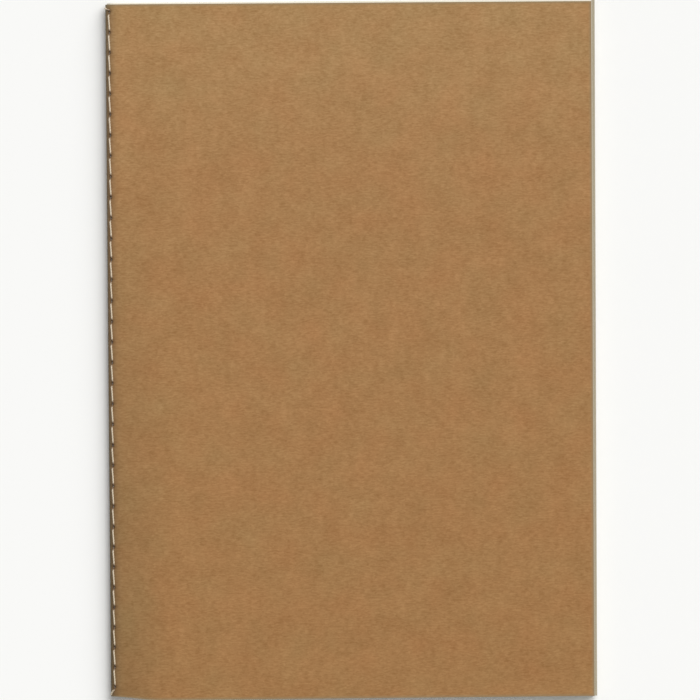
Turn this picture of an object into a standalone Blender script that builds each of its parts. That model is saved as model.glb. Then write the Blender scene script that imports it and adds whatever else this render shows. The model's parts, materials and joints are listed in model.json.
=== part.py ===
"""A stitched, lined notebook: a kraft cover and twelve sheets, folded together and sewn through the fold.

It lies closed on its back cover. +X runs from the spine to the fore-edge, +Y to the head and +Z up through
the pages. The origin is the middle of the underside of its box. Lengths are in metres.
"""

import math

import bmesh
import bpy
from mathutils import Matrix

# Driving dimensions of the cover and the sheets
COVER_WIDTH = 0.146
COVER_HEIGHT = 0.210
COVER_THICKNESS = 0.0003
PAPER_THICKNESS = 0.0001
SHEET_COUNT = 12
LEAF_AIR = 0.00006
PAGES_PROUD = 0.0004
PAGES_SHIFT = 0.0003

# Driving dimensions of the fold
SPINE_LIFT = 0.00002
FOLD_AIR = 0.00003
GUTTER_RADIUS = 0.00032
FLAT_START = 0.003
FLAT_GAP = 0.0001
FACET_ANGLE = math.radians(10)
HINGE_OUT = 0.0009

# Driving dimensions of the sewing
STITCH_COUNT = 33
STITCH_PITCH = 0.0062
FIRST_HOLE_FROM_HEAD = 0.0019
STITCH_ANGLE = math.radians(124)
STITCH_SLANT = math.radians(5)
STITCH_RUN_IN = 0.00105
THREAD_RADIUS = 0.00022
PULLED_RADIUS = 0.00012
THREAD_AIR = 0.00003
SLOT_WIDTH = 0.00034
SLOT_LENGTH = 0.0013
DIP_RUN = 0.0005
NEEDLE_DIP = 0.00135
BOBBIN_RISE = 0.001
BOBBIN_RUN_IN = 0.0008
TAIL_TURN = math.radians(28)
HEAD_TAIL_LENGTH = 0.0013
FOOT_TAIL_LENGTH = 0.0024

# Sizes that follow, measured from the middle of the spine's fold. The hinge axis lies a little outside it,
# near the crease of the card.
LEAF_PITCH = PAPER_THICKNESS + LEAF_AIR
COVER_LEVEL = SHEET_COUNT * LEAF_PITCH + LEAF_AIR / 2 + COVER_THICKNESS / 2
HALF_THICKNESS = COVER_LEVEL + COVER_THICKNESS / 2
SPINE_RADIUS = HALF_THICKNESS - SPINE_LIFT
FOLD_X = SPINE_RADIUS - (COVER_WIDTH + PAGES_PROUD) / 2
FOLD_Z = HALF_THICKNESS
COVER_EDGE = COVER_WIDTH - SPINE_RADIUS
PAGE_EDGE = COVER_EDGE + PAGES_PROUD
COVER_FOOT = -(COVER_HEIGHT + PAGES_SHIFT) / 2
COVER_HEAD = COVER_FOOT + COVER_HEIGHT
PAGE_FOOT = COVER_FOOT + PAGES_SHIFT
PAGE_HEAD = COVER_HEAD + PAGES_SHIFT
FIRST_HOLE = COVER_HEAD - FIRST_HOLE_FROM_HEAD
HOLES = [FIRST_HOLE - index * STITCH_PITCH for index in range(STITCH_COUNT + 1)]


def clear_scene():
    """Start from an empty scene."""
    for item in list(bpy.data.objects):
        bpy.data.objects.remove(item)


def plain_material(name, colour, roughness):
    """A non-metal finish of one colour."""
    material = bpy.data.materials.new(name)
    material.use_nodes = True
    shader = material.node_tree.nodes["Principled BSDF"]
    shader.inputs["Base Color"].default_value = (*colour, 1.0)
    shader.inputs["Roughness"].default_value = roughness
    shader.inputs["Metallic"].default_value = 0.0
    return material


def add_part(name, data, material):
    """Put a piece in the notebook, with its origin in the middle of the fold, and hang it on the hinge."""
    part = bpy.data.objects.new(name, data)
    data.materials.append(material)
    notebook.objects.link(part)
    part.parent = hinge
    part.location = (HINGE_OUT, 0.0, 0.0)
    return part


def mesh_from(shape, name):
    """Turn a finished bmesh into mesh data."""
    mesh = bpy.data.meshes.new(name)
    shape.to_mesh(mesh)
    shape.free()
    return mesh


def flat_plate(name, level, thickness, edge, foot, head, material):
    """One flat leaf or cover board, from just past the fold to its fore-edge."""
    shape = bmesh.new()
    middle = Matrix.Translation(((FLAT_START + edge) / 2, (foot + head) / 2, level))
    sides = Matrix.Diagonal((edge - FLAT_START, head - foot, thickness, 1.0))
    bmesh.ops.create_cube(shape, size=1.0, matrix=middle @ sides)
    return add_part(name, mesh_from(shape, name), material)


def fold_angles(radius):
    """The angles round a fold where it bends, and the two that bound its needle slots."""
    half_slot = math.asin(SLOT_WIDTH / 2 / radius)
    start = STITCH_ANGLE - half_slot
    end = STITCH_ANGLE + half_slot
    least_facet = FACET_ANGLE / 3
    angles = [start, end]
    for step in range(round(math.pi / FACET_ANGLE) + 1):
        angle = math.pi / 2 + step * FACET_ANGLE
        if angle < start - least_facet or angle > end + least_facet:
            angles.append(angle)
    return sorted(angles), start, end


def fold_strip(name, radius, level, thickness, foot, head, material):
    """The bent strip between two flat plates, pierced at every needle hole.

    Its profile comes in from the front plate, goes round the fold's middle and runs out to the back plate.
    """
    angles, slot_start, slot_end = fold_angles(radius)
    profile = [(radius * math.cos(angle), radius * math.sin(angle)) for angle in angles]
    profile = [(FLAT_START - FLAT_GAP, level)] + profile + [(FLAT_START - FLAT_GAP, -level)]
    rows = [foot, head]
    for hole in HOLES:
        rows += [hole - SLOT_LENGTH / 2, hole + SLOT_LENGTH / 2]
    rows.sort()
    columns = len(profile) - 1
    bands = len(rows) - 1
    strip = bmesh.new()
    bmesh.ops.create_grid(strip, x_segments=columns, y_segments=bands, size=0.5)
    for vertex in strip.verts:
        x, z = profile[round((vertex.co.x + 0.5) * columns)]
        vertex.co = (x, rows[round((vertex.co.y + 0.5) * bands)], z)
    slots = []
    for face in strip.faces:
        centre = face.calc_center_median()
        at_hole = min(abs(centre.y - hole) for hole in HOLES) < SLOT_LENGTH / 2
        if at_hole and slot_start < math.atan2(centre.z, centre.x) < slot_end:
            slots.append(face)
    bmesh.ops.delete(strip, geom=slots, context="FACES")
    mesh = mesh_from(strip, name)
    mesh.shade_smooth()
    part = add_part(name, mesh, material)
    wall = part.modifiers.new("wall", "SOLIDIFY")
    wall.thickness = thickness
    wall.offset = 0.0
    wall.use_even_offset = True
    return part


def thread(name, stations, material):
    """One unbroken thread through stations: angle and distance round the fold, place along it, and radius."""
    curve = bpy.data.curves.new(name, "CURVE")
    curve.dimensions = "3D"
    curve.bevel_depth = THREAD_RADIUS
    curve.bevel_resolution = 1
    curve.use_fill_caps = True
    spline = curve.splines.new("POLY")
    spline.points.add(len(stations) - 1)
    for point, (angle, distance, along, radius) in zip(spline.points, stations):
        point.co = (distance * math.cos(angle), along, distance * math.sin(angle), 1.0)
        point.radius = radius / THREAD_RADIUS
    return add_part(name, curve, material)


def needle_stations():
    """Stitches along the outside of the spine, which dip into each needle hole and end in two cut tails."""
    outside = SPINE_RADIUS + THREAD_AIR + THREAD_RADIUS
    shoulder = SPINE_RADIUS + THREAD_AIR + PULLED_RADIUS
    tail_angle = STITCH_ANGLE + TAIL_TURN
    stations = [(tail_angle, outside, HOLES[0] + HEAD_TAIL_LENGTH, THREAD_RADIUS)]
    for index, hole in enumerate(HOLES):
        if index > 0:
            stations.append((STITCH_ANGLE - STITCH_SLANT, outside, hole + STITCH_RUN_IN, THREAD_RADIUS))
        stations.append((STITCH_ANGLE, shoulder, hole + DIP_RUN, PULLED_RADIUS))
        stations.append((STITCH_ANGLE, NEEDLE_DIP, hole, PULLED_RADIUS))
        stations.append((STITCH_ANGLE, shoulder, hole - DIP_RUN, PULLED_RADIUS))
        if index < STITCH_COUNT:
            stations.append((STITCH_ANGLE + STITCH_SLANT, outside, hole - STITCH_RUN_IN, THREAD_RADIUS))
    stations.append((tail_angle, outside, HOLES[-1] - FOOT_TAIL_LENGTH, THREAD_RADIUS))
    return stations


def bobbin_stations():
    """The thread in the gutter, which rises into each needle hole to meet the needle thread."""
    stations = []
    for hole in HOLES:
        stations.append((STITCH_ANGLE, 0.0, hole + BOBBIN_RUN_IN, THREAD_RADIUS))
        stations.append((STITCH_ANGLE, 0.0, hole + DIP_RUN, PULLED_RADIUS))
        stations.append((STITCH_ANGLE, BOBBIN_RISE, hole, PULLED_RADIUS))
        stations.append((STITCH_ANGLE, 0.0, hole - DIP_RUN, PULLED_RADIUS))
        stations.append((STITCH_ANGLE, 0.0, hole - BOBBIN_RUN_IN, THREAD_RADIUS))
    return stations


def build_cover():
    """The kraft card: front board, bent spine and back board."""
    kraft = plain_material("kraft_card", (0.366, 0.202, 0.080), 0.85)
    flat_plate("front_cover", COVER_LEVEL, COVER_THICKNESS, COVER_EDGE, COVER_FOOT, COVER_HEAD, kraft)
    flat_plate("back_cover", -COVER_LEVEL, COVER_THICKNESS, COVER_EDGE, COVER_FOOT, COVER_HEAD, kraft)
    spine_middle = SPINE_RADIUS - COVER_THICKNESS / 2
    fold_strip("cover_spine", spine_middle, COVER_LEVEL, COVER_THICKNESS, COVER_FOOT, COVER_HEAD, kraft)


def build_sheets():
    """The folded sheets, from the outermost, 01, to the innermost."""
    paper = plain_material("ruled_paper", (0.871, 0.831, 0.723), 0.9)
    for number in range(1, SHEET_COUNT + 1):
        inside = SHEET_COUNT - number
        level = (inside + 0.5) * LEAF_PITCH
        radius = GUTTER_RADIUS + PAPER_THICKNESS / 2 + inside * (PAPER_THICKNESS + FOLD_AIR)
        flat_plate(f"front_leaf_{number:02}", level, PAPER_THICKNESS, PAGE_EDGE, PAGE_FOOT, PAGE_HEAD, paper)
        flat_plate(f"back_leaf_{number:02}", -level, PAPER_THICKNESS, PAGE_EDGE, PAGE_FOOT, PAGE_HEAD, paper)
        fold_strip(f"sheet_fold_{number:02}", radius, level, PAPER_THICKNESS, PAGE_FOOT, PAGE_HEAD, paper)


def build_sewing():
    """The two threads of the lockstitch."""
    cotton = plain_material("sewing_thread", (0.730, 0.617, 0.479), 0.8)
    thread("needle_thread", needle_stations(), cotton)
    thread("bobbin_thread", bobbin_stations(), cotton)


clear_scene()
notebook = bpy.data.collections.new("stitched_notebook")
bpy.context.scene.collection.children.link(notebook)
hinge = bpy.data.objects.new("spine_hinge", None)
hinge.location = (FOLD_X - HINGE_OUT, 0.0, FOLD_Z)
notebook.objects.link(hinge)
build_cover()
build_sheets()
build_sewing()
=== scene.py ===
"""The looks of a stitched lined notebook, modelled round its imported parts.

It lies closed on its back cover, with the spine to the left, -X, and the head to +Y. Lengths are in metres.
"""

import json
import math
import random

import bpy
import numpy as np
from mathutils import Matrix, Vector


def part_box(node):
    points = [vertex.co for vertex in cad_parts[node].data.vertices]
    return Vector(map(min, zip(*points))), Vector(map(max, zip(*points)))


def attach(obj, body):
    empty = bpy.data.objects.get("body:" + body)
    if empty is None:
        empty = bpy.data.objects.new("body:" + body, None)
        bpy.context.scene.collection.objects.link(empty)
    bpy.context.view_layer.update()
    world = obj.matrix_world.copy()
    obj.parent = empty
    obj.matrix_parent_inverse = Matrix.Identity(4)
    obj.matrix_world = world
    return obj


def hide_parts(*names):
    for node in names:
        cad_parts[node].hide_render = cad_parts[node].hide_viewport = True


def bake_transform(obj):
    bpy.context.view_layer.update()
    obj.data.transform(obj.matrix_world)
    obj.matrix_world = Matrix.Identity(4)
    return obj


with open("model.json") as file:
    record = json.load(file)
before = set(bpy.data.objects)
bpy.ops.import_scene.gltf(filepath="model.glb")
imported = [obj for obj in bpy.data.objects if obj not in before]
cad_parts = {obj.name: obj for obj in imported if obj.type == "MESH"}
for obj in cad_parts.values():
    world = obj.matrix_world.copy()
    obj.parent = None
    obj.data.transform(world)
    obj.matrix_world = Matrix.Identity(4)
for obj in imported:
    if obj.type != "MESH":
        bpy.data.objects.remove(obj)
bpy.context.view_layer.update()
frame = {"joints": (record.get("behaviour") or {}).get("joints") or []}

# Text sheets
# Twelve sheets of cream writing paper, ruled on both faces, folded once and nested in one another.
# The block isn't trimmed after folding, so each sheet stands further out at the fore-edge than the one
# outside it. Needle slots pierce every fold.
MM = 0.001
HINGE_X, _, HINGE_Z = frame["joints"][0]["pos_m"]
SPINE_DEPTH = 2.23 * MM
SPINE_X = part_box("cover_spine")[0].x
FOLD_X = SPINE_X + SPINE_DEPTH
COVER_LOW, COVER_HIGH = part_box("front_cover")
HEAD = COVER_HIGH.y
FOOT = COVER_LOW.y
COVER_REACH = COVER_HIGH.x - FOLD_X
SHEET_COUNT = 12

# Each fold is half an ellipse, measured from the middle of the spine's fold: its own middle, how far left
# its tip is, and how high it rises. All three grow from the innermost sheet outwards. Beyond the fold a
# sheet springs back to its level.
GUTTER_X = 0.30 * MM
MIDDLE_STEP = 0.08 * MM
INNER_TIP = 0.18 * MM
TIP_STEP = 0.153 * MM
INNER_HEIGHT = 0.2 * MM
HEIGHT_STEP = 0.109 * MM
FOLD_TOP = math.radians(84)
FOLD_TIP = math.radians(6)
SPRING_END = 17 * MM
SPRING_STEPS = 8
NEEDLE_ANGLE = math.radians(39.5)

# The needle holes, from the head. The feed ran a little fast before the middle and slow after it.
uneven = random.Random(7)
HOLE_COUNT = 34
FIRST_HOLE_FROM_HEAD = 2.26 * MM
SEWN_LENGTH = 203.7 * MM
STITCH_LENGTH = SEWN_LENGTH / (HOLE_COUNT - 1)
FEED_DRIFT = 0.037
FEED_JERK = 0.07 * MM
HOLES = []
for number in range(HOLE_COUNT):
    share = number / (HOLE_COUNT - 1)
    sewn = SEWN_LENGTH * (share + FEED_DRIFT * share * share * (1 - share))
    HOLES.append(HEAD - FIRST_HOLE_FROM_HEAD - sewn + uneven.uniform(-FEED_JERK, FEED_JERK))

# The foot, below the last hole, is drawn up beside the fold
FOOT_DRAWN = 1.25 * MM
FOOT_DRAWN_WIDTH = 16 * MM
FOOT_DRAWN_FROM_HOLE = 1.1 * MM
FOOT_DRAWN_HEIGHT = HOLES[-1] - FOOT_DRAWN_FROM_HOLE - FOOT

# How far the closed block gapes at the fore-edge, shared out unevenly between the front leaves. A leaf is
# at its full lift a little before the fore-edge.
GAPE = 0.6 * MM
GAPE_RATE = 1.1
SMALLEST_GAP = 0.1
gap_shares = [uneven.uniform(SMALLEST_GAP, 1.0) ** 2 for _ in range(SHEET_COUNT + 1)]
lifts = np.cumsum(gap_shares) / sum(gap_shares) * GAPE


def ease(share):
    """Go from 0 to 1 with level ends."""
    share = np.clip(share, 0.0, 1.0)
    return share * share * (3 - 2 * share)


def drawn_foot(across, lines):
    """How far the foot of a sheet rises beside the fold, for each line and place across."""
    beside_fold = ease(1 - np.abs(across) / FOOT_DRAWN_WIDTH)
    by_foot = np.clip(1 - (lines - FOOT) / FOOT_DRAWN_HEIGHT, 0.0, 1.0)
    return FOOT_DRAWN * by_foot[:, None] * beside_fold


def needle_way(middle, tip, height):
    """The angle round a fold at which the needle, coming straight from the gutter, goes through it."""
    width = middle + tip
    aside = (middle - GUTTER_X) / width
    run = math.cos(NEEDLE_ANGLE) / width
    rise = math.sin(NEEDLE_ANGLE) / height
    slope = run * run + rise * rise
    reach = (math.sqrt(slope - (aside * rise) ** 2) - aside * run) / slope
    return math.atan2(reach * rise, aside + reach * run)


def half_section(middle, tip, height, level, reach, angles, flat_steps):
    """One half of a sheet's section, from the tip of its fold to its fore-edge, as places in X and Z."""
    places = [(middle - (middle + tip) * math.cos(a), height * math.sin(a)) for a in angles]
    start_x, start_z = places[-1]
    for step in range(1, SPRING_STEPS + 1):
        share = step / SPRING_STEPS
        x = start_x + (SPRING_END - start_x) * share
        places.append((x, level + (start_z - level) * (1 - share) ** 2))
    for step in range(1, flat_steps + 1):
        places.append((SPRING_END + (reach - SPRING_END) * step / flat_steps, level))
    return places


def section(middle, tip, height, level, reach, needle_lines, fold_steps, crowding, flat_steps):
    """A folded sheet's section, from the back fore-edge round the fold to the front one.

    needle_lines are distances from the needle's way, across the front half, where lines are wanted. The
    other lines round the fold crowd towards its tip where crowding is over 1.
    It gives the places in X and Z, how far across the flat sheet each one is, and how far across it the
    needle goes through.
    """
    through = needle_way(middle, tip, height)
    stretch = math.hypot((middle + tip) * math.sin(through), height * math.cos(through))
    even = [FOLD_TOP * (step / fold_steps) ** crowding for step in range(fold_steps + 1)]
    room = FOLD_TOP / fold_steps / 2
    wanted = [through + line / stretch for line in needle_lines]
    wanted = [a for a in wanted if FOLD_TIP < a < FOLD_TOP - FOLD_TIP]
    clear = [a for a in even[:-1] if a < wanted[0] - room or a > wanted[-1] + room]
    angles = sorted(clear + wanted + [even[-1]])
    front = half_section(middle, tip, height, level, reach, angles, flat_steps)
    back = half_section(middle, tip, height, level, reach, even, flat_steps)
    x = np.array([place[0] for place in reversed(back[1:])] + [place[0] for place in front])
    z = np.array([-place[1] for place in reversed(back[1:])] + [place[1] for place in front])
    across = np.concatenate(((0.0,), np.cumsum(np.hypot(np.diff(x), np.diff(z)))))
    fold_line = len(back) - 1
    across = across - across[fold_line]
    needle_across = np.interp(through, angles, across[fold_line:fold_line + len(angles)])
    return x, z, across, needle_across


# The reach of the painted shade, dark brown, round a needle hole
HOLE_SHADE_LENGTH = 0.75 * MM
HOLE_SHADE_WIDTH = 0.5 * MM


def flat_grid(name, x, y, z, across, along, needle_across, hole_darkness):
    """A grid laid flat as one sheet, its lines then carried to their places in the fold.

    x, y and z are arrays with a row for each line across the sheet. The flat sheet's own measure, in metres
    from the fold and along the spine, stays on it as a UV map. How far a point is from the nearer
    fore-edge, and how much painted shade it has round a needle hole, from 0 to the sheet's most, stay on it
    as attributes. Its points are in order, line by line.
    """
    rows, columns = x.shape
    from_edge = np.where(across > 0, across[-1] - across, across - across[0])
    from_hole = np.min(np.abs(along[:, None] - np.array(HOLES)), axis=1)
    from_line = across - needle_across
    near = hole_darkness * np.exp(-(from_hole[:, None] / HOLE_SHADE_LENGTH) ** 2 - (from_line / HOLE_SHADE_WIDTH) ** 2)
    bpy.ops.object.select_all(action="DESELECT")
    bpy.ops.mesh.primitive_grid_add(x_subdivisions=columns - 1, y_subdivisions=rows - 1, size=1.0)
    sheet = bpy.context.object
    sheet.name = name
    sheet.data.name = name
    flat = np.empty(len(sheet.data.vertices) * 3)
    sheet.data.vertices.foreach_get("co", flat)
    flat = flat.reshape(-1, 3)
    column = np.rint((flat[:, 0] + 0.5) * (columns - 1)).astype(int)
    row = np.rint((flat[:, 1] + 0.5) * (rows - 1)).astype(int)
    placed = np.column_stack((x[row, column] + FOLD_X, y[row, column], z[row, column] + HINGE_Z))
    sheet.data.vertices.foreach_set("co", placed.ravel())
    corner_points = np.empty(len(sheet.data.loops), dtype=int)
    sheet.data.loops.foreach_get("vertex_index", corner_points)
    measure = np.column_stack((across[column], along[row]))
    sheet.data.uv_layers.active.name = "flat_sheet"
    sheet.data.uv_layers.active.data.foreach_set("uv", measure[corner_points].ravel())
    hole_shade = sheet.data.attributes.new("hole_shade", "FLOAT", "POINT")
    hole_shade.data.foreach_set("value", near[row, column])
    from_fore_edge = sheet.data.attributes.new("from_fore_edge", "FLOAT", "POINT")
    from_fore_edge.data.foreach_set("value", from_edge[column])
    return sheet


def punch_slots(sheet, middle, half_width, half_length):
    """Delete the faces of a flat grid that lie in its needle slots."""
    bpy.ops.object.mode_set(mode="EDIT")
    bpy.ops.mesh.select_mode(type="FACE")
    bpy.ops.mesh.select_all(action="DESELECT")
    bpy.ops.object.mode_set(mode="OBJECT")
    measure = sheet.data.uv_layers.active.data
    for face in sheet.data.polygons:
        corners = [measure[loop].uv for loop in face.loop_indices]
        across = sum(corner.x for corner in corners) / len(corners)
        along = sum(corner.y for corner in corners) / len(corners)
        in_line = abs(across - middle) < half_width
        face.select = in_line and min(abs(along - hole) for hole in HOLES) < half_length
    bpy.ops.object.mode_set(mode="EDIT")
    bpy.ops.mesh.delete(type="FACE")
    bpy.ops.object.mode_set(mode="OBJECT")


CUT_EDGE_ANGLE = math.radians(50)


def give_wall(sheet, thickness):
    """Thicken a sheet evenly to both sides, with smooth faces and sharp cut edges.

    Where it has a vertex group, that is the share of the thickness that each point keeps.
    """
    wall = sheet.modifiers.new("wall", "SOLIDIFY")
    wall.thickness = thickness
    wall.offset = 0.0
    if sheet.vertex_groups:
        wall.vertex_group = sheet.vertex_groups[0].name
    bpy.ops.object.modifier_apply(modifier=wall.name)
    sheet.vertex_groups.clear()
    bpy.ops.object.mode_set(mode="EDIT")
    bpy.ops.mesh.select_all(action="SELECT")
    bpy.ops.mesh.normals_make_consistent(inside=False)
    bpy.ops.object.mode_set(mode="OBJECT")
    bpy.ops.object.shade_smooth_by_angle(angle=CUT_EDGE_ANGLE)


def linear(colour):
    """An sRGB hex colour as linear red, green, blue and alpha."""
    shares = [int(colour[start:start + 2], 16) / 255 for start in (1, 3, 5)]
    return [s / 12.92 if s <= 0.04045 else ((s + 0.055) / 1.055) ** 2.4 for s in shares] + [1.0]


def add_node(tree, kind, inputs=None, **settings):
    """Add a shader node with its settings, its values, and the outputs that its inputs are linked to."""
    node = tree.nodes.new(kind)
    for name, value in settings.items():
        setattr(node, name, value)
    for name, value in (inputs or {}).items():
        if isinstance(value, bpy.types.NodeSocket):
            tree.links.new(value, node.inputs[name])
        else:
            node.inputs[name].default_value = value
    return node


# Uncoated wood-free writing paper: matt, cream, faintly cloudy against the light, and printed with pale
# blue rules whose ink spreads a little
RULE_PITCH = 7 * MM
RULE_WIDTH = 0.28 * MM
INK_SPREAD = 0.3
FIRST_RULE = HEAD - 21 * MM
LAST_RULE = FOOT + 13 * MM
RULE_MARGIN = 3 * MM
# How far in from the fore-edge the faces are greyed by painted shade
FORE_EDGE_SHADE_MARGIN = 0.4 * MM
CUT_EDGE = 0.003 * MM
PAPER_CLOUD = 4 * MM
PAPER_TOOTH = 0.25 * MM
PAPER_TOOTH_DEPTH = 0.02 * MM
paper = bpy.data.materials.new("ruled_writing_paper")
paper.use_nodes = True
tree = paper.node_tree
shader = tree.nodes["Principled BSDF"]
shader.inputs["Roughness"].default_value = 0.92
shader.inputs["Specular IOR Level"].default_value = 0.25
flat_sheet = add_node(tree, "ShaderNodeUVMap", uv_map="flat_sheet").outputs["UV"]
cloud = add_node(
    tree, "ShaderNodeTexNoise",
    {"Vector": flat_sheet, "Scale": 1 / PAPER_CLOUD, "Detail": 3.0},
    noise_dimensions="2D",
)
bare = add_node(
    tree, "ShaderNodeMix",
    {0: cloud.outputs["Fac"], 6: linear("#EDE7D6"), 7: linear("#F4EFE1")},
    data_type="RGBA",
)
place = add_node(tree, "ShaderNodeSeparateXYZ", {"Vector": flat_sheet}).outputs
along = place["Y"]
from_fold = add_node(tree, "ShaderNodeMath", {0: place["X"]}, operation="ABSOLUTE")
from_rule = add_node(tree, "ShaderNodeMath", {0: along, 1: FIRST_RULE}, operation="SUBTRACT")
to_rule = add_node(
    tree, "ShaderNodeMath",
    {0: from_rule.outputs[0], 1: RULE_PITCH / 2},
    operation="PINGPONG",
)
inked = add_node(
    tree, "ShaderNodeMapRange",
    {
        "Value": to_rule.outputs[0],
        "From Min": RULE_WIDTH * (1 - INK_SPREAD) / 2, "From Max": RULE_WIDTH * (1 + INK_SPREAD) / 2,
        "To Min": 1.0, "To Max": 0.0,
    },
)
below_head = add_node(
    tree, "ShaderNodeMath",
    {0: along, 1: FIRST_RULE + RULE_PITCH / 2},
    operation="LESS_THAN",
)
above_foot = add_node(tree, "ShaderNodeMath", {0: along, 1: LAST_RULE}, operation="GREATER_THAN")
off_edge = add_node(
    tree, "ShaderNodeMath",
    {0: from_fold.outputs[0], 1: COVER_REACH - RULE_MARGIN},
    operation="LESS_THAN",
)
in_height = add_node(
    tree, "ShaderNodeMath",
    {0: below_head.outputs[0], 1: above_foot.outputs[0]},
    operation="MULTIPLY",
)
in_field = add_node(
    tree, "ShaderNodeMath",
    {0: in_height.outputs[0], 1: off_edge.outputs[0]},
    operation="MULTIPLY",
)
rule = add_node(
    tree, "ShaderNodeMath",
    {0: inked.outputs[0], 1: in_field.outputs[0]},
    operation="MULTIPLY",
)
printed = add_node(
    tree, "ShaderNodeMix",
    {0: rule.outputs[0], 6: bare.outputs[2], 7: linear("#A9B7C2")},
    data_type="RGBA",
)

# Painted shade greys the faces along the fore-edge, but not the cut edge itself, and painted shade darkens
# the needle holes brown
from_edge = add_node(tree, "ShaderNodeAttribute", attribute_name="from_fore_edge").outputs["Fac"]
by_edge = add_node(
    tree, "ShaderNodeMapRange",
    {"Value": from_edge, "From Min": 0.0, "From Max": FORE_EDGE_SHADE_MARGIN, "To Min": 1.0, "To Max": 0.0},
)
on_face = add_node(tree, "ShaderNodeMath", {0: from_edge, 1: CUT_EDGE}, operation="GREATER_THAN")
fore_edge_shade = add_node(
    tree, "ShaderNodeMath",
    {0: by_edge.outputs[0], 1: on_face.outputs[0]},
    operation="MULTIPLY",
)
# Painted shade on the faces along the fore-edge
fore_edge_shaded = add_node(
    tree, "ShaderNodeMix",
    {0: fore_edge_shade.outputs[0], 6: printed.outputs[2], 7: linear("#9F937B")},
    data_type="RGBA",
)
hole_shade = add_node(tree, "ShaderNodeAttribute", attribute_name="hole_shade").outputs["Fac"]
# Painted shade round the needle slots
hole_shaded = add_node(
    tree, "ShaderNodeMix",
    {0: hole_shade, 6: fore_edge_shaded.outputs[2], 7: linear("#563819")},
    data_type="RGBA",
)
tree.links.new(hole_shaded.outputs[2], shader.inputs["Base Color"])
tooth = add_node(
    tree, "ShaderNodeTexNoise",
    {"Vector": flat_sheet, "Scale": 1 / PAPER_TOOTH, "Detail": 2.0},
    noise_dimensions="2D",
)
tooth_bump = add_node(
    tree, "ShaderNodeBump",
    {"Height": tooth.outputs["Fac"], "Strength": 0.12, "Distance": PAPER_TOOTH_DEPTH},
)
tree.links.new(tooth_bump.outputs["Normal"], shader.inputs["Normal"])

# The needle slots, and where a sheet needs lines for them, round its fold and along the spine
PAPER_SLOT_HALF = 0.4 * MM
PAPER_SLOT_WIDTH = 0.4 * MM
PAPER_SLOT_LINES = [share * PAPER_SLOT_WIDTH for share in (-1.5, -0.5, 0.5, 1.5)]
PAPER_SLOT_ENDS = (PAPER_SLOT_HALF, 2.5 * PAPER_SLOT_HALF)

# How far the outermost and the innermost sheet stand out of the cover, and how unevenly all of them were
# cut and stacked. Their fore-edge leans a little more than the cover's.
OUTER_PROUD = 0.15 * MM
INNER_PROUD = 1.0 * MM
UNEVEN_CUT = 0.06 * MM
UNEVEN_STACK = 0.12 * MM
PAPER_LEAN = 0.0048

# How far a sheet would bend across the hinge, as a share of the room between its two flat leaves; the bend
# worked out from it below is not used
PAPER_BEND = 0.87
for number in range(1, SHEET_COUNT + 1):
    leaf_low, leaf_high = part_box(f"front_leaf_{number:02}")
    thickness = leaf_high.z - leaf_low.z
    level = (leaf_low.z + leaf_high.z) / 2 - HINGE_Z
    inside = SHEET_COUNT - number
    height = INNER_HEIGHT + inside * HEIGHT_STEP
    proud = OUTER_PROUD + (INNER_PROUD - OUTER_PROUD) * (number - 1) / (SHEET_COUNT - 1)
    reach = COVER_REACH + proud + uneven.uniform(-UNEVEN_CUT, UNEVEN_CUT)
    slide = uneven.uniform(-UNEVEN_STACK, UNEVEN_STACK)
    profile_x, profile_z, across, needle_across = section(
        GUTTER_X + inside * MIDDLE_STEP, INNER_TIP + inside * TIP_STEP, height, level, reach,
        PAPER_SLOT_LINES, fold_steps=10, crowding=1.6, flat_steps=4,
    )

    # The lines across the sheet: both ends, the two ends of each slot, and one a little outside each
    lines = [leaf_low.y + slide, leaf_high.y + slide]
    for hole in HOLES:
        for offset in PAPER_SLOT_ENDS:
            lines += [hole - offset, hole + offset]
    lines = np.sort(lines)
    x, y = np.meshgrid(profile_x, lines)
    z = np.broadcast_to(profile_z, x.shape).copy()
    reached = np.clip(x, 0.0, None) / reach
    z += np.where(z > 0, lifts[inside] * ease(reached * GAPE_RATE), 0.0)
    x = x + reached * PAPER_LEAN * y
    y = y + drawn_foot(across, lines)

    # Painted shade at the needle holes, darkest on the outer sheets, which show through the cover's slots
    hole_darkness = (inside / SHEET_COUNT) ** 2
    sheet = flat_grid(f"text_sheet_{number:02}", x, y, z, across, lines, needle_across, hole_darkness)
    punch_slots(sheet, needle_across, PAPER_SLOT_WIDTH / 2, PAPER_SLOT_HALF)
    give_wall(sheet, thickness)
    sheet.data.materials.append(paper)

    turn = PAPER_BEND * (level - thickness / 2)
    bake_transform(sheet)
    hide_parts(f"front_leaf_{number:02}", f"sheet_fold_{number:02}", f"back_leaf_{number:02}")

# Kraft cover
# One sheet of unbleached brown kraft card, folded round the block and sewn on with it.
# The stitches squeeze it at every needle hole, and beyond the fold it springs up to its level.
COVER_WALL = COVER_HIGH.z - COVER_LOW.z
COVER_LEVEL = (COVER_LOW.z + COVER_HIGH.z) / 2 - HINGE_Z
SPINE_SWELL = 0.19 * MM
COVER_TIP = SPINE_DEPTH - COVER_WALL / 2 + SPINE_SWELL
COVER_MIDDLE = GUTTER_X + SHEET_COUNT * MIDDLE_STEP
COVER_FOLD_HEIGHT = 1.7 * MM
COVER_SLOT_HALF = 0.75 * MM
COVER_SLOT_WIDTH = 0.55 * MM

# Where the card needs lines: round its fold by the needle's way, along the spine by each hole, and close
# to both ends
COVER_SLOT_LINES = [share * COVER_SLOT_WIDTH for share in (-1.8, -1.1, -0.5, 0.0, 0.5, 1.1, 1.8)]
LINES_BY_HOLE = (0.25 * MM, 0.5 * MM, COVER_SLOT_HALF, 1.0 * MM, 1.3 * MM, 1.8 * MM, 2.4 * MM)
END_LINE = 0.2 * MM

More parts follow.
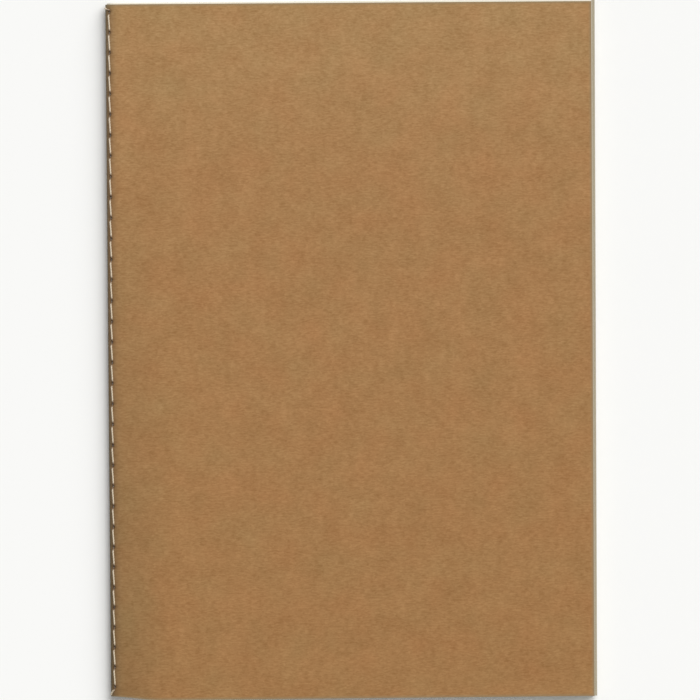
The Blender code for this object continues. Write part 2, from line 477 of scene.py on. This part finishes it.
# What the stitches do to the card: they draw the slots to a point and aslant, and leave dents and a groove
SLOT_POINT = 0.7
SLOT_POINT_SPREAD = 0.25 * MM
SLOT_SLANT = 0.16
SLANT_SPREAD = 0.9 * MM
HOLE_DENT = 0.12 * MM
HOLE_DENT_SPREAD = 0.7 * MM
STITCH_GROOVE = 0.05 * MM
STITCH_GROOVE_SPREAD = 0.45 * MM

# The knife's small errors: the fore-edge leans, and the head and foot run out of square
FORE_EDGE_LEAN = 0.0039
HEAD_FALL = 0.25 * MM
FOOT_RISE = 0.2 * MM

profile_x, profile_z, across, needle_across = section(
    COVER_MIDDLE, COVER_TIP, COVER_FOLD_HEIGHT, COVER_LEVEL, COVER_REACH,
    COVER_SLOT_LINES, fold_steps=12, crowding=1.0, flat_steps=7,
)
lines = [FOOT + END_LINE, HEAD - END_LINE]
for hole in HOLES:
    for offset in LINES_BY_HOLE:
        lines += [hole - offset, hole + offset]
    lines.append(hole - STITCH_LENGTH / 2)
lines = [line for line in lines if FOOT + END_LINE / 2 < line < HEAD - END_LINE / 2]
lines = np.unique(np.round([FOOT, *lines, HEAD], 7))
x, y = np.meshgrid(profile_x, lines)
z = np.broadcast_to(profile_z, x.shape).copy()

# The dents and the groove, where the stitches squeeze the card. Its outer face sinks in along the card's
# own outward direction and its inner face stays, so the middle of the card goes half as far.
run_x = np.gradient(profile_x)
run_z = np.gradient(profile_z)
length = np.hypot(run_x, run_z)
from_line = across - needle_across
above_holes = lines[:, None] - np.array(HOLES)
nearest = np.argmin(np.abs(above_holes), axis=1)
above_hole = np.take_along_axis(above_holes, nearest[:, None], axis=1)
from_hole = np.abs(above_hole)
sewn = (y < HOLES[0]) & (y > HOLES[-1])
inward = STITCH_GROOVE * np.exp(-(from_line / STITCH_GROOVE_SPREAD) ** 2) * sewn
inward = inward + HOLE_DENT * np.exp(-(from_line ** 2 + from_hole ** 2) / HOLE_DENT_SPREAD ** 2)
x = x + inward / 2 * run_z / length
z = z - inward / 2 * run_x / length

# The slots, drawn to a point at both ends and slanted as the thread goes through them, along the card
pointed = SLOT_POINT * np.exp(-((from_hole - COVER_SLOT_HALF) / SLOT_POINT_SPREAD) ** 2)
aside = -from_line * pointed * np.exp(-(from_line / COVER_SLOT_WIDTH) ** 2)
slanted = np.exp(-(from_line ** 2 + from_hole ** 2) / SLANT_SPREAD ** 2)
aside = aside + SLOT_SLANT * above_hole * slanted
x = x + aside * run_x / length
z = z + aside * run_z / length

reached = np.clip(x, 0.0, None) / COVER_REACH
z += np.where(z > 0, lifts[SHEET_COUNT] * ease(reached * GAPE_RATE), 0.0)
x = x + reached * FORE_EDGE_LEAN * y
up = (y - FOOT) / (HEAD - FOOT)
y = y + reached * (FOOT_RISE * (1 - up) - HEAD_FALL * up) + drawn_foot(across, lines)

cover = flat_grid("kraft_cover", x, y, z, across, lines, needle_across, hole_darkness=1.0)
squeezed = cover.vertex_groups.new(name="squeezed")
for point, share in enumerate((1 - inward / COVER_WALL).ravel()):
    squeezed.add([point], share, "REPLACE")
punch_slots(cover, needle_across, COVER_SLOT_WIDTH / 2, COVER_SLOT_HALF)
give_wall(cover, COVER_WALL)

# Unbleached kraft: brown wood pulp, cloudy where the pulp settled thicker, with short fibres that lie
# mostly across the cover. Its face is matt and a little rough.
KRAFT_CLOUD = 12 * MM
KRAFT_FORMATION = 10 * MM
FIBRE_LENGTH = 1.55 * MM
FIBRE_WIDTH = 0.45 * MM
FIBRE_DEPTH = 0.03 * MM

# Nearly all of a noise pattern lies between these two values, and the formation is noise from another place
NOISE_LOW = 0.3
NOISE_HIGH = 0.7
FORMATION_PLACE = (0.3, 0.2, 0.0)

# Where painted shade darkens the card, at its cut edges, its fold and by the spine towards the foot, and
# where painted light makes the head paler
EDGE_SHADE_WIDTH = 0.9 * MM
LIT_HEAD = 60 * MM
FOLD_SHADE_START = 0.2 * MM
FOLD_SHADE_END = 6 * MM
FOOT_SHADE_START = 3 * MM
FOOT_SHADE_END = 22 * MM
FOOT_SHADE_TOP = 60 * MM
kraft = bpy.data.materials.new("kraft_card")
kraft.use_nodes = True
tree = kraft.node_tree
shader = tree.nodes["Principled BSDF"]
shader.inputs["Specular IOR Level"].default_value = 0.25
flat_sheet = add_node(tree, "ShaderNodeUVMap", uv_map="flat_sheet").outputs["UV"]
place = add_node(tree, "ShaderNodeSeparateXYZ", {"Vector": flat_sheet}).outputs
cloud = add_node(
    tree, "ShaderNodeTexNoise",
    {"Vector": flat_sheet, "Scale": 1 / KRAFT_CLOUD, "Detail": 2.0},
    noise_dimensions="2D",
)
aside = add_node(tree, "ShaderNodeMapping", {"Vector": flat_sheet, "Location": FORMATION_PLACE})
formation = add_node(
    tree, "ShaderNodeTexNoise",
    {"Vector": aside.outputs["Vector"], "Scale": 1 / KRAFT_FORMATION, "Detail": 4.0, "Roughness": 1.0},
    noise_dimensions="2D",
)
drawn = add_node(
    tree, "ShaderNodeMapping",
    {"Vector": flat_sheet, "Scale": (FIBRE_WIDTH / FIBRE_LENGTH, 1.0, 1.0)},
)
fibre = add_node(
    tree, "ShaderNodeTexNoise",
    {"Vector": drawn.outputs["Vector"], "Scale": 1 / FIBRE_WIDTH, "Detail": 2.0, "Distortion": 0.6},
    noise_dimensions="2D",
)
settled = add_node(
    tree, "ShaderNodeMapRange",
    {
        "Value": formation.outputs["Fac"], "From Min": NOISE_LOW, "From Max": NOISE_HIGH,
        "To Min": -0.2, "To Max": 0.2,
    },
)
streak = add_node(
    tree, "ShaderNodeMapRange",
    {
        "Value": fibre.outputs["Fac"], "From Min": NOISE_LOW, "From Max": NOISE_HIGH,
        "To Min": 0.31, "To Max": 0.69,
    },
)
tone = add_node(
    tree, "ShaderNodeMath",
    {0: settled.outputs[0], 1: streak.outputs[0]},
    operation="ADD",
)
pulp = add_node(
    tree, "ShaderNodeMix",
    {0: tone.outputs[0], 6: linear("#946D3F"), 7: linear("#BC9567")},
    data_type="RGBA",
)
hue = add_node(
    tree, "ShaderNodeMix",
    {0: cloud.outputs["Fac"], 6: linear("#F6FFFF"), 7: linear("#FFF6F3")},
    data_type="RGBA",
)
clouded = add_node(
    tree, "ShaderNodeMix",
    {0: 1.0, 6: pulp.outputs[2], 7: hue.outputs[2]},
    data_type="RGBA", blend_type="MULTIPLY",
)

# Painted light and shade: the card is paler towards the head, where the lamp is, and warmer and darker
# towards the foot
to_head = add_node(
    tree, "ShaderNodeMapRange",
    {"Value": place["Y"], "From Min": FOOT, "From Max": HEAD, "To Min": 0.0, "To Max": 1.0},
)
warmer_down = add_node(
    tree, "ShaderNodeMix",
    {0: to_head.outputs[0], 6: linear("#F2E7DC"), 7: linear("#FDF5F2")},
    data_type="RGBA",
)
by_head = add_node(
    tree, "ShaderNodeMapRange",
    {"Value": place["Y"], "From Min": HEAD - LIT_HEAD, "From Max": HEAD, "To Min": 0.0, "To Max": 1.0},
    interpolation_type="SMOOTHSTEP",
)
head_light = add_node(
    tree, "ShaderNodeMix",
    {0: by_head.outputs[0], 6: warmer_down.outputs[2], 7: linear("#FFFFFF")},
    data_type="RGBA",
)
# Painted light towards the head
lit_towards_head = add_node(
    tree, "ShaderNodeMix",
    {0: 1.0, 6: clouded.outputs[2], 7: head_light.outputs[2]},
    data_type="RGBA", blend_type="MULTIPLY",
)

# Painted shade darkens the fold and the front beside it, and the front by the spine more towards the foot
from_fold = add_node(tree, "ShaderNodeMath", {0: place["X"]}, operation="ABSOLUTE")
to_fold = add_node(
    tree, "ShaderNodeMapRange",
    {
        "Value": from_fold.outputs[0], "From Min": FOLD_SHADE_START, "From Max": FOLD_SHADE_END,
        "To Min": 1.0, "To Max": 0.0,
    },
)
fold_shade = add_node(tree, "ShaderNodeMath", {0: to_fold.outputs[0], 1: 3.0}, operation="POWER")
# Painted shade at the fold
fold_shaded = add_node(
    tree, "ShaderNodeMix",
    {0: fold_shade.outputs[0], 6: lit_towards_head.outputs[2], 7: linear("#A8C8F6")},
    data_type="RGBA", blend_type="MULTIPLY",
)
by_spine = add_node(
    tree, "ShaderNodeMapRange",
    {"Value": place["X"], "From Min": FOOT_SHADE_START, "From Max": FOOT_SHADE_END, "To Min": 1.0, "To Max": 0.0},
    interpolation_type="SMOOTHSTEP",
)
by_foot = add_node(
    tree, "ShaderNodeMapRange",
    {"Value": place["Y"], "From Min": FOOT, "From Max": FOOT_SHADE_TOP, "To Min": 1.0, "To Max": 0.0},
)
# Painted shade by the spine, stronger towards the foot
foot_shade = add_node(
    tree, "ShaderNodeMath",
    {0: by_spine.outputs[0], 1: by_foot.outputs[0]},
    operation="MULTIPLY",
)
foot_shaded = add_node(
    tree, "ShaderNodeMix",
    {0: foot_shade.outputs[0], 6: fold_shaded.outputs[2], 7: linear("#E6F0F4")},
    data_type="RGBA", blend_type="MULTIPLY",
)

# Painted shade greys the card towards its cut edges, and darkens it round each needle hole
from_head = add_node(tree, "ShaderNodeMath", {0: HEAD, 1: place["Y"]}, operation="SUBTRACT")
from_foot = add_node(tree, "ShaderNodeMath", {0: place["Y"], 1: FOOT}, operation="SUBTRACT")
from_fore_edge = add_node(tree, "ShaderNodeAttribute", attribute_name="from_fore_edge").outputs["Fac"]
from_ends = add_node(
    tree, "ShaderNodeMath",
    {0: from_head.outputs[0], 1: from_foot.outputs[0]},
    operation="MINIMUM",
)
from_edge = add_node(
    tree, "ShaderNodeMath",
    {0: from_ends.outputs[0], 1: from_fore_edge},
    operation="MINIMUM",
)
# Painted shade along the cut edges
edge_shade = add_node(
    tree, "ShaderNodeMapRange",
    {"Value": from_edge.outputs[0], "From Min": 0.0, "From Max": EDGE_SHADE_WIDTH, "To Min": 0.8, "To Max": 0.0},
)
edge_shaded = add_node(
    tree, "ShaderNodeMix",
    {0: edge_shade.outputs[0], 6: foot_shaded.outputs[2], 7: linear("#8F7E60")},
    data_type="RGBA",
)
# Painted shade round each needle hole
hole_shade = add_node(tree, "ShaderNodeAttribute", attribute_name="hole_shade").outputs["Fac"]
hole_shaded = add_node(
    tree, "ShaderNodeMix",
    {0: hole_shade, 6: edge_shaded.outputs[2], 7: linear("#5A3A1B")},
    data_type="RGBA",
)
tree.links.new(hole_shaded.outputs[2], shader.inputs["Base Color"])
rough = add_node(
    tree, "ShaderNodeMapRange",
    {
        "Value": formation.outputs["Fac"], "From Min": NOISE_LOW, "From Max": NOISE_HIGH,
        "To Min": 0.78, "To Max": 0.92,
    },
)
tree.links.new(rough.outputs[0], shader.inputs["Roughness"])
fibre_bump = add_node(
    tree, "ShaderNodeBump",
    {"Height": fibre.outputs["Fac"], "Strength": 0.25, "Distance": FIBRE_DEPTH},
)
tree.links.new(fibre_bump.outputs["Normal"], shader.inputs["Normal"])
cover.data.materials.append(kraft)

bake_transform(cover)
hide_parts("front_cover", "cover_spine", "back_cover")

# Needle thread
# Cream cotton of three twisted plies, sewn from the outside as 33 slanting stitches along the spine.
# It dives through a hole between each two stitches, and both ends are cut off short and fray a little.
THREAD_RADIUS = 0.21 * MM
PLY_COUNT = 3
PLY_DEPTH = 0.16
PLY_EDGE_ANGLE = math.radians(60)
TWIST_PITCH = 2.4 * MM
PROFILE_POINTS = 12


def smooth_path(stations, steps):
    """Places and widths on a smooth curve through stations of a place and a width."""
    path = []
    last = len(stations) - 1
    for index in range(last):
        before, start, end, after = (
            stations[min(max(index + offset, 0), last)] for offset in (-1, 0, 1, 2)
        )
        for step in range(steps):
            t = step / steps
            place = (
                start[0] * 2 + (end[0] - before[0]) * t
                + (before[0] * 2 - start[0] * 5 + end[0] * 4 - after[0]) * t * t
                + (start[0] * 3 - before[0] - end[0] * 3 + after[0]) * t * t * t
            ) / 2
            path.append((place, start[1] + (end[1] - start[1]) * t))
    path.append(stations[-1])
    return path


def twisted_thread(name, path):
    """A tube of twisted plies along a path of places and widths, as a mesh."""
    bpy.ops.object.select_all(action="DESELECT")
    profile = bpy.data.curves.new(name + "_profile", "CURVE")
    profile.dimensions = "2D"
    outline = profile.splines.new("POLY")
    outline.points.add(PROFILE_POINTS - 1)
    outline.use_cyclic_u = True
    for index, point in enumerate(outline.points):
        angle = 2 * math.pi * index / PROFILE_POINTS
        ply = THREAD_RADIUS * (1 + PLY_DEPTH * math.cos(PLY_COUNT * angle))
        point.co = (ply * math.cos(angle), ply * math.sin(angle), 0.0, 1.0)
    profile_object = bpy.data.objects.new(name + "_profile", profile)
    bpy.context.scene.collection.objects.link(profile_object)

    curve = bpy.data.curves.new(name, "CURVE")
    curve.dimensions = "3D"
    curve.bevel_mode = "OBJECT"
    curve.bevel_object = profile_object
    curve.use_fill_caps = True
    spline = curve.splines.new("POLY")
    spline.points.add(len(path) - 1)
    run = 0.0
    previous = path[0][0]
    for point, (place, width) in zip(spline.points, path):
        run += (place - previous).length
        previous = place
        point.co = (*place, 1.0)
        point.radius = width
        point.tilt = 2 * math.pi * (run / TWIST_PITCH % 1)
    thread = bpy.data.objects.new(name, curve)
    bpy.context.scene.collection.objects.link(thread)
    thread.select_set(True)
    bpy.context.view_layer.objects.active = thread
    bpy.ops.object.convert(target="MESH")
    bpy.ops.object.mode_set(mode="EDIT")
    bpy.ops.mesh.select_all(action="SELECT")
    bpy.ops.mesh.normals_make_consistent(inside=False)
    bpy.ops.object.mode_set(mode="OBJECT")
    bpy.ops.object.shade_smooth_by_angle(angle=PLY_EDGE_ANGLE)
    bpy.data.objects.remove(profile_object)
    return bpy.context.object


cover_through = needle_way(COVER_MIDDLE, COVER_TIP, COVER_FOLD_HEIGHT)


def on_cover(angle, lift, along):
    """A place above the cover's outer face, at an angle round its fold."""
    across_fold = COVER_MIDDLE + COVER_TIP
    left = math.cos(angle)
    high = math.sin(angle)
    middle = Vector((COVER_MIDDLE - across_fold * left, 0.0, COVER_FOLD_HEIGHT * high))
    outward = Vector((-COVER_FOLD_HEIGHT * left, 0.0, across_fold * high)).normalized()
    place = middle + outward * (COVER_WALL / 2 + lift)
    return Vector((FOLD_X + place.x, along, HINGE_Z + place.z))


STITCH_SLANT = math.radians(2.2)
STITCH_RISE = 0.17 * MM
MOUTH_SINK = -0.08 * MM
THROAT_SINK = -0.42 * MM
HOLE_SINK = -0.8 * MM
TAIL_SLANT = math.radians(30)
HEAD_TAIL = 1.2 * MM
FOOT_TAIL = 2.2 * MM

# The thread's way into a hole, through it, and out to the middle of the next stitch: how far it is turned
# round the fold, its lift above the card, its place along the spine from the hole, and its width as a
# share. The pull narrows it in the hole.
WAY_IN = [
    (STITCH_SLANT, STITCH_RISE, 1.5 * MM, 1.0),
    (STITCH_SLANT, STITCH_RISE * 0.8, 1.0 * MM, 0.97),
]
WAY_THROUGH = [
    (STITCH_SLANT * 0.9, MOUTH_SINK, 0.6 * MM, 0.88),
    (STITCH_SLANT * 0.5, THROAT_SINK, 0.3 * MM, 0.78),
    (0.0, HOLE_SINK, 0.0, 0.65),
    (-STITCH_SLANT * 0.5, THROAT_SINK, -0.35 * MM, 0.78),
    (-STITCH_SLANT * 0.9, MOUTH_SINK, -0.7 * MM, 0.88),
]
WAY_OUT = [
    (-STITCH_SLANT, STITCH_RISE * 0.9, -1.05 * MM, 1.0),
    (-STITCH_SLANT, STITCH_RISE * 1.2, -1.5 * MM, 1.06),
    (0.0, STITCH_RISE, -STITCH_LENGTH / 2, 1.0),
]

# The cut tails, which turn away round the spine and fray wider at their ends
HEAD_TAIL_WAY = [
    (-TAIL_SLANT, STITCH_RISE, HEAD_TAIL, 1.25),
    (-TAIL_SLANT * 0.5, STITCH_RISE, HEAD_TAIL * 0.65, 1.1),
]
FOOT_TAIL_WAY = [
    (-TAIL_SLANT * 0.4, STITCH_RISE, -FOOT_TAIL * 0.5, 1.15),
    (-TAIL_SLANT, STITCH_RISE, -FOOT_TAIL, 1.4),
]
stations = []
for number, hole in enumerate(HOLES):
    way_in = WAY_IN if number > 0 else HEAD_TAIL_WAY
    way_out = WAY_OUT if number < HOLE_COUNT - 1 else FOOT_TAIL_WAY
    for turn, lift, beyond, width in way_in + WAY_THROUGH + way_out:
        stations.append((on_cover(cover_through + turn, lift, hole + beyond), width))
needle_thread = twisted_thread("sewn_needle_thread", smooth_path(stations, steps=5))

# How near each point of the thread is to a hole, where it is painted dark all over as shade
THREAD_HOLE_SHADE = 0.95 * MM
points = np.empty(len(needle_thread.data.vertices) * 3)
needle_thread.data.vertices.foreach_get("co", points)
from_hole = np.min(np.abs(points[1::3, None] - np.array(HOLES)), axis=1)
hole_shade = needle_thread.data.attributes.new("hole_shade", "FLOAT", "POINT")
hole_shade.data.foreach_set("value", np.exp(-(from_hole / THREAD_HOLE_SHADE) ** 4))

# Mercerised cotton: smooth twisted plies with a soft sheen, painted a little darker towards the foot as
# shade
LINT_SIZE = 0.12 * MM
LINT_DEPTH = 0.03 * MM
cotton = bpy.data.materials.new("cotton_thread")
cotton.use_nodes = True
tree = cotton.node_tree
shader = tree.nodes["Principled BSDF"]
shader.inputs["Roughness"].default_value = 0.7
shader.inputs["Sheen Weight"].default_value = 0.25
shader.inputs["Sheen Roughness"].default_value = 0.5
place = add_node(tree, "ShaderNodeTexCoord").outputs["Object"]
lint = add_node(
    tree, "ShaderNodeTexNoise",
    {"Vector": place, "Scale": 1 / LINT_SIZE, "Detail": 2.0},
)
along = add_node(tree, "ShaderNodeSeparateXYZ", {"Vector": place}).outputs["Y"]
# Painted shade: the thread darkens towards the foot
foot_shade = add_node(
    tree, "ShaderNodeMapRange",
    {"Value": along, "From Min": FOOT, "From Max": HEAD, "To Min": 1.0, "To Max": 0.0},
)
clean = add_node(
    tree, "ShaderNodeMix",
    {0: lint.outputs["Fac"], 6: linear("#CEBBA1"), 7: linear("#E6D7C0")},
    data_type="RGBA",
)
foot_shaded = add_node(
    tree, "ShaderNodeMix",
    {0: foot_shade.outputs[0], 6: clean.outputs[2], 7: linear("#D2C2A8")},
    data_type="RGBA",
)
hole_shade = add_node(tree, "ShaderNodeAttribute", attribute_name="hole_shade").outputs["Fac"]
# Painted shade on the thread in and beside the holes
thread_hole_shaded = add_node(
    tree, "ShaderNodeMix",
    {0: hole_shade, 6: foot_shaded.outputs[2], 7: linear("#614223")},
    data_type="RGBA",
)
tree.links.new(thread_hole_shaded.outputs[2], shader.inputs["Base Color"])
lint_bump = add_node(
    tree, "ShaderNodeBump",
    {"Height": lint.outputs["Fac"], "Strength": 0.3, "Distance": LINT_DEPTH},
)
tree.links.new(lint_bump.outputs["Normal"], shader.inputs["Normal"])
needle_thread.data.materials.append(cotton)
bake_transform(needle_thread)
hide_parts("needle_thread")

# Bobbin thread
# The lockstitch's second thread, of the same cotton, in the gutter of the middle sheet.
# It rises a little into every hole, where the needle thread's loop holds it.
BOBBIN_AIR = 0.05 * MM
BOBBIN_X = THREAD_RADIUS - INNER_TIP + BOBBIN_AIR
BOBBIN_RISE = 0.5 * MM

# The thread's way past a hole: its place along the gutter from the hole, how much it has risen into the
# hole as a share, and its width as a share
PAST_HOLE = [
    (1.2 * MM, 0.0, 1.0),
    (0.5 * MM, 0.25, 0.85),
    (0.0, 1.0, 0.6),
    (-0.5 * MM, 0.25, 0.85),
    (-1.2 * MM, 0.0, 1.0),
    (-STITCH_LENGTH / 2, 0.0, 1.0),
]
gutter = Vector((FOLD_X + BOBBIN_X, 0.0, HINGE_Z))
toward_hole = Vector((-math.cos(NEEDLE_ANGLE), 0.0, math.sin(NEEDLE_ANGLE)))
in_hole = Vector((FOLD_X + GUTTER_X, 0.0, HINGE_Z)) + toward_hole * BOBBIN_RISE
stations = []
for hole in HOLES:
    for beyond, risen, width in PAST_HOLE:
        stations.append((gutter.lerp(in_hole, risen) + Vector((0.0, hole + beyond, 0.0)), width))
stations.pop()
bobbin_thread = twisted_thread("sewn_bobbin_thread", smooth_path(stations, steps=8))
bobbin_thread.data.materials.append(cotton)
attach(bobbin_thread, "spine")
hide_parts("bobbin_thread")

# Floor, light and camera
# A plain pale table, one broad soft lamp beyond the head of the notebook, a little to its right, and an
# even room. The camera looks straight down through a long lens, as a flat scan sees it.
FLOOR_SIZE = 60.0
FLOOR_LEVEL = -0.05 * MM
bpy.ops.object.select_all(action="DESELECT")
bpy.ops.mesh.primitive_plane_add(size=FLOOR_SIZE, location=(0.0, 0.0, FLOOR_LEVEL))
floor = bpy.context.object
floor.name = "floor"


def seen_by_camera(tree):
    """1 for what the camera sees, straight on, mirrored or through glass, and 0 for other light."""
    way = add_node(tree, "ShaderNodeLightPath").outputs
    mirrored = add_node(
        tree, "ShaderNodeMath",
        {0: way["Is Camera Ray"], 1: way["Is Glossy Ray"]},
        operation="MAXIMUM",
    )
    through = add_node(
        tree, "ShaderNodeMath",
        {0: mirrored.outputs[0], 1: way["Is Transmission Ray"]},
        operation="MAXIMUM",
    )
    return through.outputs[0]


# Matt pale paint, which shows as white paper would and throws back a little less
floor_paint = bpy.data.materials.new("pale_floor")
floor_paint.use_nodes = True
tree = floor_paint.node_tree
shader = tree.nodes["Principled BSDF"]
shader.inputs["Roughness"].default_value = 0.9
shader.inputs["Specular IOR Level"].default_value = 0.1
shown = add_node(
    tree, "ShaderNodeMix",
    {0: seen_by_camera(tree), 6: linear("#F5F5F3"), 7: linear("#F9F9F7")},
    data_type="RGBA",
)
tree.links.new(shown.outputs[2], shader.inputs["Base Color"])
floor.data.materials.append(floor_paint)

ROOM_LIGHT = 0.37
ROOM_SEEN = 0.945
LAMP_TILT = math.radians(50)
LAMP_SIDE = math.radians(32)
LAMP_SOFTNESS = math.radians(60)
world = bpy.data.worlds.new("room")
bpy.context.scene.world = world
world.use_nodes = True
room = world.node_tree.nodes["Background"]
room.inputs["Color"].default_value = linear("#FFFFFF")

# Seen straight on or in a gloss, the room is as pale as the floor
brightness = add_node(
    world.node_tree, "ShaderNodeMapRange",
    {"Value": seen_by_camera(world.node_tree), "To Min": ROOM_LIGHT, "To Max": ROOM_SEEN},
)
world.node_tree.links.new(brightness.outputs[0], room.inputs["Strength"])
bpy.ops.object.light_add(type="SUN", rotation=(-LAMP_TILT, 0.0, -LAMP_SIDE))
lamp = bpy.context.object
lamp.name = "lamp"
lamp.data.energy = (1 - ROOM_LIGHT) * math.pi / math.cos(LAMP_TILT)
lamp.data.angle = LAMP_SOFTNESS

IMAGE_PIXELS = 700
PIXEL_SIZE = 0.3016 * MM
IMAGE_WIDTH = IMAGE_PIXELS * PIXEL_SIZE
LENS = 400.0
SENSOR = 36.0
ROLL = math.radians(-0.49)
IMAGE_CENTRE = (-0.4 * MM, 0.0)
camera_data = bpy.data.cameras.new("camera")
camera_data.lens = LENS
camera_data.sensor_width = SENSOR
camera_data.clip_end = 100.0
camera = bpy.data.objects.new("camera", camera_data)
bpy.context.scene.collection.objects.link(camera)
camera.location = (*IMAGE_CENTRE, COVER_HIGH.z + IMAGE_WIDTH * LENS / SENSOR)
camera.rotation_euler = (0.0, 0.0, ROLL)
bpy.context.scene.camera = camera
bpy.context.scene.view_settings.view_transform = "Standard"
